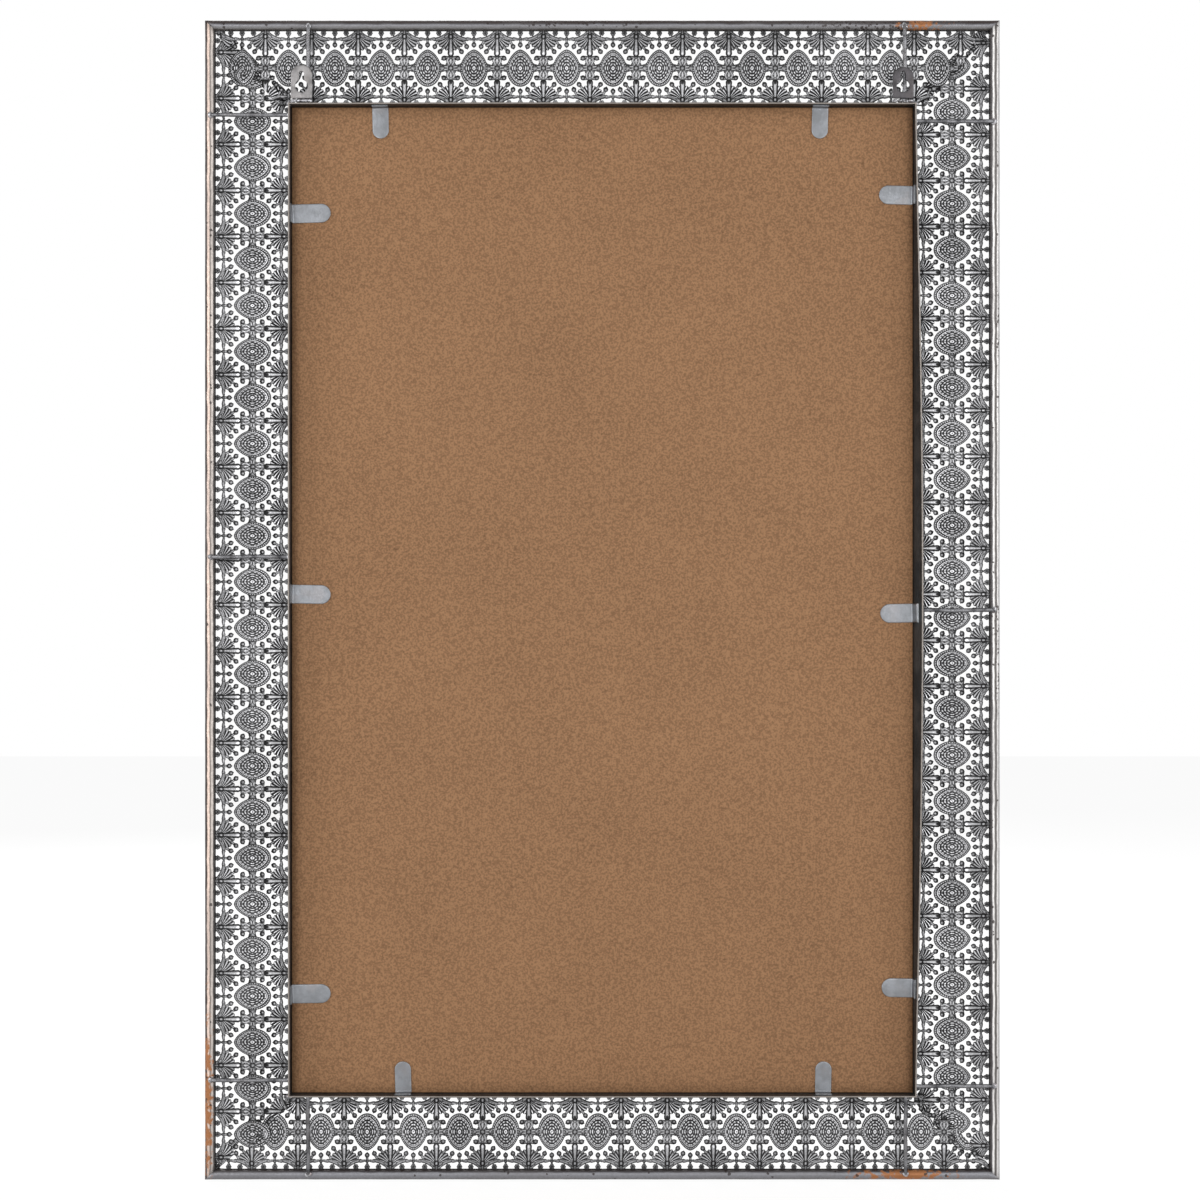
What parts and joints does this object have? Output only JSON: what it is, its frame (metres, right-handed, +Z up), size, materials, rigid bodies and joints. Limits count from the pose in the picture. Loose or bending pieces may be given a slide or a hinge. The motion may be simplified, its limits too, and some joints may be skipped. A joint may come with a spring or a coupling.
{
  "type": "wall mirror",
  "caption": "Upright rectangular wall mirror in a welded metal frame: round outer rails, a border of pierced filigree, stay wires, bent clips over a hardboard back and keyhole hangers.",
  "frame": {"origin": "on the wall plane, midway between the middles of the two hangers' round holes", "axes": "+Z up along the mirror's height, -Y out of the front towards the viewer, so +Y points into the wall, and +X to the right as seen from the front"},
  "size_m": [0.624, 0.02, 0.91],
  "materials": {
    "rail_paint": "silver-grey paint, rubbed through to copper-brown in places",
    "strip_paint": "dark slate paint, satin",
    "filigree_paint": "thin silver-grey paint over a darker ground, darker in the hollows",
    "stay_paint": "silver-grey paint, satin",
    "clip_metal": "dull bluish grey steel",
    "hanger_metal": "grey steel under uneven paint",
    "weld_metal": "bright, lumpy weld metal",
    "mirror": "silvered glass, polished front",
    "hardboard": "bare brown hardboard, fine fibres"
  },
  "bodies": {
    "root": {"outer_rail_top": "rail_paint", "outer_rail_right": "rail_paint", "outer_rail_bottom": "rail_paint", "outer_rail_left": "rail_paint", "inner_strip_top": "strip_paint", "inner_strip_right": "strip_paint", "inner_strip_bottom": "strip_paint", "inner_strip_left": "strip_paint", "filigree_top": "filigree_paint", "filigree_bottom": "filigree_paint", "filigree_left": "filigree_paint", "filigree_right": "filigree_paint", "stay_top_left": "stay_paint", "stay_top_right": "stay_paint", "stay_bottom_left": "stay_paint", "stay_bottom_right": "stay_paint", "stay_left_upper": "stay_paint", "stay_right_upper": "stay_paint", "stay_left_middle": "stay_paint", "stay_right_middle": "stay_paint", "stay_left_lower": "stay_paint", "stay_right_lower": "stay_paint", "clip_top_left": "clip_metal", "clip_top_right": "clip_metal", "clip_bottom_left": "clip_metal", "clip_bottom_right": "clip_metal", "clip_left_upper": "clip_metal", "clip_right_upper": "clip_metal", "clip_left_middle": "clip_metal", "clip_right_middle": "clip_metal", "clip_left_lower": "clip_metal", "clip_right_lower": "clip_metal", "hanger_left": "hanger_metal", "hanger_right": "hanger_metal", "mirror_glass": "mirror", "backing_board": "hardboard", "stay_welds": "weld_metal", "hanger_welds": "weld_metal", "corner_welds": "weld_metal"}
  },
  "joints": []
}
